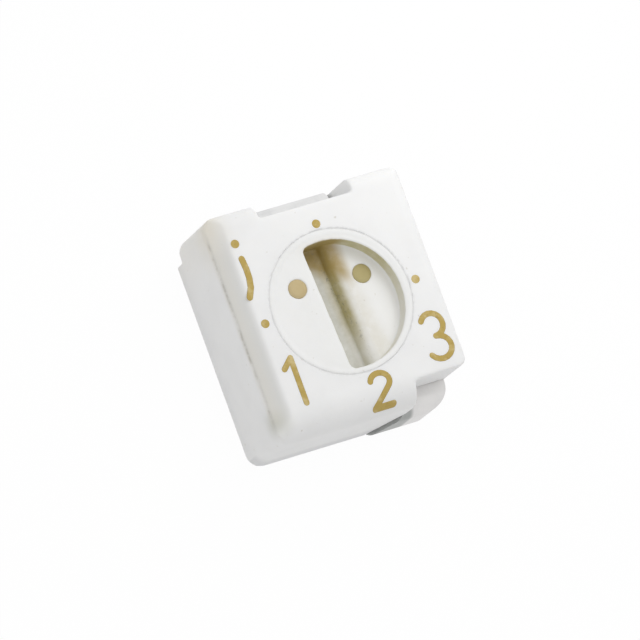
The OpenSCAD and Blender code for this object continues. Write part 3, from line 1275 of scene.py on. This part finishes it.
@dataclass
class Piece:
    """One finished piece and where it belongs."""

    obj: bpy.types.Object
    body: Body
    slot: Slot
    stands_for: tuple[str, ...] = ()

    def settle(self) -> None:
        """Attaches the piece to its body and the node that it stands for."""
        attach(self.obj, self.body.value)
        if self.stands_for:
            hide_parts(*self.stands_for)
        LOG.info("%s rides on %s, %d faces", self.obj.name, self.body.value, len(self.obj.data.polygons))


@dataclass
class Assembly:
    """Shared ways of a sub-assembly."""

    pieces: list[Piece] = field(default_factory=list, init=False)

    def stand_in(self, node: str, piece: bpy.types.Object, material: bpy.types.Material,
                 body: Body, slot: Slot) -> None:
        """Adds a piece that stands for a CAD node.

        Args:
            node: the CAD node.
            piece: the new piece.
            material: its material.
            body: the body that it rides on.
            slot: its material slot.
        """
        dress(piece, material)
        self.pieces.append(Piece(piece, body, slot, (node,)))

    @staticmethod
    def finish_node(node: str, material: bpy.types.Material) -> None:
        """Gives a CAD node that keeps its own form its material."""
        dress(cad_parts[node], material)
        LOG.info("%s keeps its form, material %s", node, material.name)

    def settle(self) -> None:
        """Attaches every piece of the sub-assembly."""
        for piece in self.pieces:
            piece.settle()


@dataclass
class Case(Assembly):
    """Housing, base frame and the compound that closes the base."""

    voxel: float = 0.036
    passes: int = 4
    rim: Rim = Rim(SEAM_R + SEAM_HALF, FACE_Z)
    crease: Crease = Crease()

    def build(self) -> None:
        """Builds and dresses the case."""
        housing = softened("housing", "housing_moulding", self.voxel, self.passes, self.rim, self.crease)
        self.stand_in("housing", housing, WHITE_PLASTIC.build(), Body.CASE, Slot.HOUSING)
        self.finish_node("base_frame", FRAME_PLASTIC.build())
        self.finish_node("base_seal", COMPOUND.build())
        self.settle()


@dataclass
class RotorUnit(Assembly):
    """Rotor with its pins, wiper and seal ring."""

    voxel: float = 0.028
    passes: int = 3
    rim: Rim = Rim(SEAM_R - SEAM_HALF, FACE_Z - ROTOR_DROP)
    lug: Lug = Lug()
    pin_r: float = 0.2
    pin_round: float = 0.015
    stake_t: float = 0.03
    dome_side: float = 0.003
    dome_top: float = 0.004
    pin_steps: int = 40

    def pin(self, node: str) -> bpy.types.Object:
        """Makes a pin that fills its hole, with a slightly domed end and its staked head below.

        Args:
            node: the CAD node that it stands for.

        Returns:
            The pin's object.
        """
        low, high = (Vector(corner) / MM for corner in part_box(node))
        stake_r = (high.x - low.x) / 2
        stake_top = low.z + self.stake_t
        outline = [(0.0, low.z), (stake_r, low.z), (stake_r, stake_top), (self.pin_r, stake_top),
                   (self.pin_r, high.z - self.pin_round), (self.pin_r - self.pin_round, high.z),
                   (self.pin_r / 2, high.z + self.dome_side), (0.0, high.z + self.dome_top)]
        work = bmesh.new()
        corners = [work.verts.new((r, 0.0, z)) for r, z in outline]
        edges = [work.edges.new(pair) for pair in zip(corners, corners[1:])]
        bmesh.ops.spin(work, geom=corners + edges, axis=(0, 0, 1), angle=math.tau, steps=self.pin_steps,
                       use_merge=True)
        bmesh.ops.remove_doubles(work, verts=work.verts, dist=MERGE_MM)
        bmesh.ops.recalc_face_normals(work, faces=work.faces)
        centre = (low + high) / 2
        bmesh.ops.translate(work, vec=(centre.x, centre.y, 0.0), verts=work.verts)
        return finished(node + "_turned", mesh_of(node + "_turned", work))

    def build(self) -> None:
        """Builds and dresses the rotor unit."""
        rotor = softened("rotor", "rotor_moulding", self.voxel, self.passes, self.rim, self.lug)
        self.stand_in("rotor", rotor, IVORY_PLASTIC.build(), Body.ROTOR, Slot.ROTOR)
        for node, plastic in (("wiper_pin_left", TAN_PLASTIC), ("wiper_pin_right", OLIVE_PLASTIC)):
            self.stand_in(node, self.pin(node), plastic.build(), Body.ROTOR, Slot.PIN)
        self.finish_node("wiper", SPRING_ALLOY.build())
        self.finish_node("seal_ring", RUBBER.build())
        self.settle()


@dataclass
class Element(Assembly):
    """Substrate with its films, terminals and solder."""

    def build(self) -> None:
        """Dresses the substrate, the films, the terminals and the solder."""
        self.finish_node("substrate", CERAMIC.build())
        self.finish_node("resistive_track", RESISTIVE_FILM.build())
        silver = SILVER_FILM.build()
        for node in ("end_pad_left", "end_pad_right", "collector"):
            self.finish_node(node, silver)
        tin = TIN_PLATE.build()
        bright = SOLDER.build()
        for place, plating in (("left", tin), ("right", SHADED_TIN_PLATE.build()), ("centre", tin)):
            self.finish_node("terminal_" + place, plating)
            self.finish_node("solder_" + place, bright)


def divided(points: list[Point], step: float = 0.05) -> list[Point]:
    """Puts more points on a line, so that none are more than a step apart.

    Args:
        points: the line's corners.
        step: the largest gap.

    Returns:
        All its points, corners included.
    """
    line = [points[0]]
    for start, end in zip(points, points[1:]):
        count = max(1, math.ceil(math.dist(start, end) / step))
        line += [tuple(Vector(start).lerp(Vector(end), (i + 1) / count)) for i in range(count)]
    return line


def arc(cx: float, cy: float, rx: float, ry: float, start: float, end: float,
        steps: int = 12) -> list[Point]:
    """Returns points along an elliptical arc.

    Args:
        cx: the centre's first coordinate.
        cy: the centre's second coordinate.
        rx: the radius along the first axis.
        ry: the radius along the second axis.
        start: the first angle in degrees.
        end: the last angle in degrees.
        steps: the number of equal steps.

    Returns:
        The points, first to last.
    """
    turns = [math.radians(start + (end - start) * i / steps) for i in range(steps + 1)]
    return [(cx + rx * math.cos(t), cy + ry * math.sin(t)) for t in turns]


@dataclass(frozen=True)
class Numeral:
    """A plain numeral on the face: which one, its middle in millimetres and its size beside the others'."""

    digit: int
    centre: Point
    size: float = 1.0
    widening: float = 1.0


@dataclass
class FaceMarks(Assembly):
    """The tan dots, bar and plain numerals on the face, in millimetres."""

    front_y: float = -1.83  # where the face begins to round over into the front
    front_r: float = 0.62
    stroke: float = 0.125
    stroke_rounding: int = 3
    thickness: float = 0.004
    thinning: float = 0.3  # of a numeral's second stroke, so that the two don't share a surface
    # each step of a round end: how far past the line's end it lies and how wide it is, in half widths
    end_steps: tuple[Point, ...] = ((0.5, 0.87), (0.87, 0.5), (0.98, 0.2))
    dot_r: float = 0.092
    dot_segments: int = 24
    dot_rings: int = 12
    dots: tuple[Point, ...] = ((-1.74, 0.0), (0.065, 1.686), (1.71, 0.0), (-1.765, 1.755))
    bar: tuple[Point, ...] = ((-1.74, 1.42), (-1.72, 1.2), (-1.725, 1.0), (-1.765, 0.8), (-1.86, 0.61))
    bar_stroke: float = 0.1375
    numeral_h: float = 0.98
    numeral_w: float = 0.52
    numerals: tuple[Numeral, ...] = (Numeral(1, (-1.53, -1.31)), Numeral(2, (0.19, -1.97), 0.68, 1.2),
                                     Numeral(3, (1.70, -1.25)))

    def drop(self, y: float) -> float:
        """Returns how far the rounded front edge has fallen below the face at a place along Y."""
        past = min(max(self.front_y - y, 0.0), self.front_r)
        return self.front_r - math.sqrt(self.front_r ** 2 - past ** 2)

    def strokes(self, digit: int) -> list[list[Point]]:
        """Returns the strokes of a numeral in a box of unit height, centred on the origin.

        Args:
            digit: 1, 2 or 3.

        Returns:
            The strokes, each as its points.
        """
        w = self.numeral_w / self.numeral_h / 2
        if digit == 1:
            flag, top, foot = (-w * 0.6, 0.3), (0.05, 0.5), (0.05, -0.5)
            return [[flag, top], [top, foot]]
        if digit == 2:
            swan, foot_left, foot_right = arc(0, 0.23, w, 0.27, 165, -35), (-w, -0.5), (w, -0.5)
            return [swan + [foot_left], [foot_left, foot_right]]
        upper_bowl = arc(0, 0.25, w * 0.92, 0.25, 150, -90)
        lower_bowl = arc(0, -0.25, w, 0.25, 90, -150)
        return [upper_bowl, lower_bowl]

    def ribbon(self, name: str, points: list[Point], width: float, thickness: float) -> bpy.types.Object:
        """Makes one stroke with round ends, lying on the face.

        Args:
            name: the object's name.
            points: the stroke's middle line in millimetres.
            width: the stroke's width in millimetres.
            thickness: how far it stands above the face, in millimetres.

        Returns:
            The stroke's object.
        """
        half = width / 2
        first = (Vector(points[0]) - Vector(points[1])).normalized()
        last = (Vector(points[-1]) - Vector(points[-2])).normalized()
        line = [(Vector(points[0]) + first * half * t, r) for t, r in reversed(self.end_steps)]
        line += [(Vector(p), 1.0) for p in divided(points)]
        line += [(Vector(points[-1]) + last * half * t, r) for t, r in self.end_steps]
        curve = bpy.data.curves.new(name, "CURVE")
        curve.dimensions = "3D"
        curve.bevel_depth = half
        curve.bevel_resolution = self.stroke_rounding
        curve.use_fill_caps = True
        spline = curve.splines.new("POLY")
        spline.points.add(len(line) - 1)
        for knot, (place, radius) in zip(spline.points, line):
            knot.co = (place.x, place.y, 0.0, 1.0)
            knot.radius = radius
        mesh = applied(link_mesh(name + "_draft", curve))
        for vertex in mesh.vertices:
            lift = vertex.co.z / half * thickness
            vertex.co.z = FACE_Z + lift - self.drop(vertex.co.y)
        return finished(name, mesh)

    def dot(self, name: str, centre: Point) -> bpy.types.Object:
        """Makes one round dot on the face.

        Args:
            name: the object's name.
            centre: its place in millimetres.

        Returns:
            The dot's object.
        """
        work = bmesh.new()
        bmesh.ops.create_uvsphere(work, u_segments=self.dot_segments, v_segments=self.dot_rings,
                                  radius=self.dot_r)
        bmesh.ops.scale(work, vec=(1, 1, self.thickness / self.dot_r), verts=work.verts)
        bmesh.ops.translate(work, vec=(*centre, FACE_Z), verts=work.verts)
        return finished(name, mesh_of(name, work))

    def write(self, numeral: Numeral) -> list[bpy.types.Object]:
        """Makes one numeral on the face.

        Args:
            numeral: which one, where and how large.

        Returns:
            Its strokes' objects.
        """
        x, y = numeral.centre
        scale = self.numeral_h * numeral.size
        made = []
        for i, stroke in enumerate(self.strokes(numeral.digit)):
            line = [(x + px * scale * numeral.widening, y + py * scale) for px, py in stroke]
            thickness = self.thickness * (1 - self.thinning * i)
            made.append(self.ribbon(f"face_numeral_{numeral.digit}", line, self.stroke, thickness))
        return made

    def build(self) -> None:
        """Builds and dresses the marks."""
        ink = MarkInk().build()
        made = [self.dot(f"face_dot_{i + 1}", centre) for i, centre in enumerate(self.dots)]
        made.append(self.ribbon("face_bar", list(self.bar), self.bar_stroke, self.thickness))
        for numeral in self.numerals:
            made += self.write(numeral)
        for piece in made:
            dress(piece, ink)
            self.pieces.append(Piece(piece, Body.CASE, Slot.HOUSING))
        self.settle()


# Studio


@dataclass(frozen=True)
class Lamp:
    """A soft square lamp that shines at the part."""

    name: str
    place: Place  # in metres
    size: float  # its side in metres
    power: float  # in watts

    def build(self) -> None:
        """Puts the lamp in the scene, unseen by the camera and by glossy surfaces."""
        data = bpy.data.lights.new(self.name, "AREA")
        data.size = self.size
        data.energy = self.power
        lamp = bpy.data.objects.new(self.name, data)
        lamp.location = self.place
        lamp.rotation_mode = "QUATERNION"
        lamp.rotation_quaternion = (-Vector(self.place)).to_track_quat("-Z", "Y")
        lamp.visible_camera = False
        lamp.visible_glossy = False
        bpy.context.scene.collection.objects.link(lamp)


@dataclass
class Studio:
    """Pale floor, white surroundings, soft lamps and the camera."""

    right: Vector = field(default_factory=lambda: Vector((0.8899, -0.3397, 0.3045)))
    up: Vector = field(default_factory=lambda: Vector((0.2655, 0.9284, 0.2600)))
    shift_mm: Point = (0.30675, 0.24868)
    distance_mm: float = 150.0
    pixels_per_mm: float = 48.26
    image_pixels: float = 640.0
    sensor_mm: float = 36.0
    seen_from: float = 0.1  # the nearest place that the camera sees, as a share of its distance
    seen_to: float = 40.0  # and the furthest
    sky: float = 0.565
    floor_half_m: float = 1.5
    floor_color: Color = (0.93, 0.93, 0.93)
    floor_pale: Color = (0.95, 0.95, 0.95)
    floor_cloud: Cloud = Cloud(0.05, 2.0)
    floor_roughness: float = 0.8
    floor_specular: float = 0.1
    floor_white: float = 0.97
    lamps: tuple[Lamp, ...] = (
        Lamp("key_lamp", (0.10, 0.12, 0.37), 0.30, 0.43),
        Lamp("fill_lamp", (-0.26, -0.20, 0.22), 0.30, 0.16),
        Lamp("near_lamp", (0.0065, 0.0075, 0.011), 0.006, 0.0004),
    )

    def camera(self) -> None:
        """Places the camera at the photograph's viewing angle, with a long lens."""
        right = self.right.normalized()
        up = (self.up - right * right.dot(self.up)).normalized()
        back = right.cross(up)
        target = right * self.shift_mm[0] + up * self.shift_mm[1]
        data = bpy.data.cameras.new("photo_camera")
        data.sensor_width = self.sensor_mm
        data.lens = self.pixels_per_mm * self.distance_mm * self.sensor_mm / self.image_pixels
        data.clip_start = self.distance_mm * MM * self.seen_from
        data.clip_end = self.distance_mm * MM * self.seen_to
        camera = bpy.data.objects.new("photo_camera", data)
        turn = Matrix((right, up, back)).transposed().to_4x4()
        camera.matrix_world = Matrix.Translation((target + back * self.distance_mm) * MM) @ turn
        bpy.context.scene.collection.objects.link(camera)
        bpy.context.scene.camera = camera

    def seen_white(self, graph: Graph) -> Socket:
        """Finds the rays that should see white.

        Args:
            graph: the graph that needs them.

        Returns:
            1 for rays from the camera, from glossy surfaces and through glass, and 0 for others.
        """
        path = graph.add("ShaderNodeLightPath").outputs
        seen = graph.math("MAXIMUM", path["Is Camera Ray"], path["Is Glossy Ray"])
        return graph.math("MAXIMUM", seen, path["Is Transmission Ray"])

    def surroundings(self) -> None:
        """Makes the world white where it is seen and softer where it lights the part."""
        world = bpy.data.worlds.new("studio_white")
        world.use_nodes = True
        bpy.context.scene.world = world
        graph = Graph(world.node_tree)
        shader = world.node_tree.nodes["Background"]
        shader.inputs["Color"].default_value = (1.0, 1.0, 1.0, 1.0)
        graph.feed(shader.inputs["Strength"], graph.between(self.seen_white(graph), self.sky, 1.0))

    def floor(self) -> None:
        """Makes the pale floor, which keeps the part's shadow."""
        work = bmesh.new()
        bmesh.ops.create_grid(work, x_segments=1, y_segments=1, size=self.floor_half_m)
        floor = link_mesh("floor", mesh_of("floor", work))
        material, graph, shader = new_material("pale_floor")
        cloud = graph.noise(graph.millimetres(), self.floor_cloud)
        graph.feed(shader.inputs["Base Color"], graph.mix(cloud, self.floor_color, self.floor_pale))
        graph.feed(shader.inputs["Roughness"], self.floor_roughness)
        graph.feed(shader.inputs["Specular IOR Level"], self.floor_specular)
        glow = graph.add("ShaderNodeEmission")
        mixed = graph.add("ShaderNodeMixShader")
        white_share = graph.math("MULTIPLY", self.seen_white(graph), self.floor_white)
        for socket, value in zip(mixed.inputs, (white_share, shader.outputs[0], glow.outputs[0])):
            graph.feed(socket, value)
        graph.feed(graph.tree.nodes["Material Output"].inputs["Surface"], mixed.outputs[0])
        dress(floor, material)

    def build(self) -> None:
        """Sets up the whole studio."""
        self.camera()
        self.surroundings()
        self.floor()
        for lamp in self.lamps:
            lamp.build()
        bpy.context.scene.view_settings.view_transform = "Standard"


def main() -> None:
    """Builds the studio and every sub-assembly."""
    logging.basicConfig(level=logging.INFO, format="%(message)s")
    Studio().build()
    for assembly in (Case(), RotorUnit(), Element(), FaceMarks()):
        assembly.build()
        LOG.info("%s is built", type(assembly).__name__)


if __name__ == "__main__":
    main()
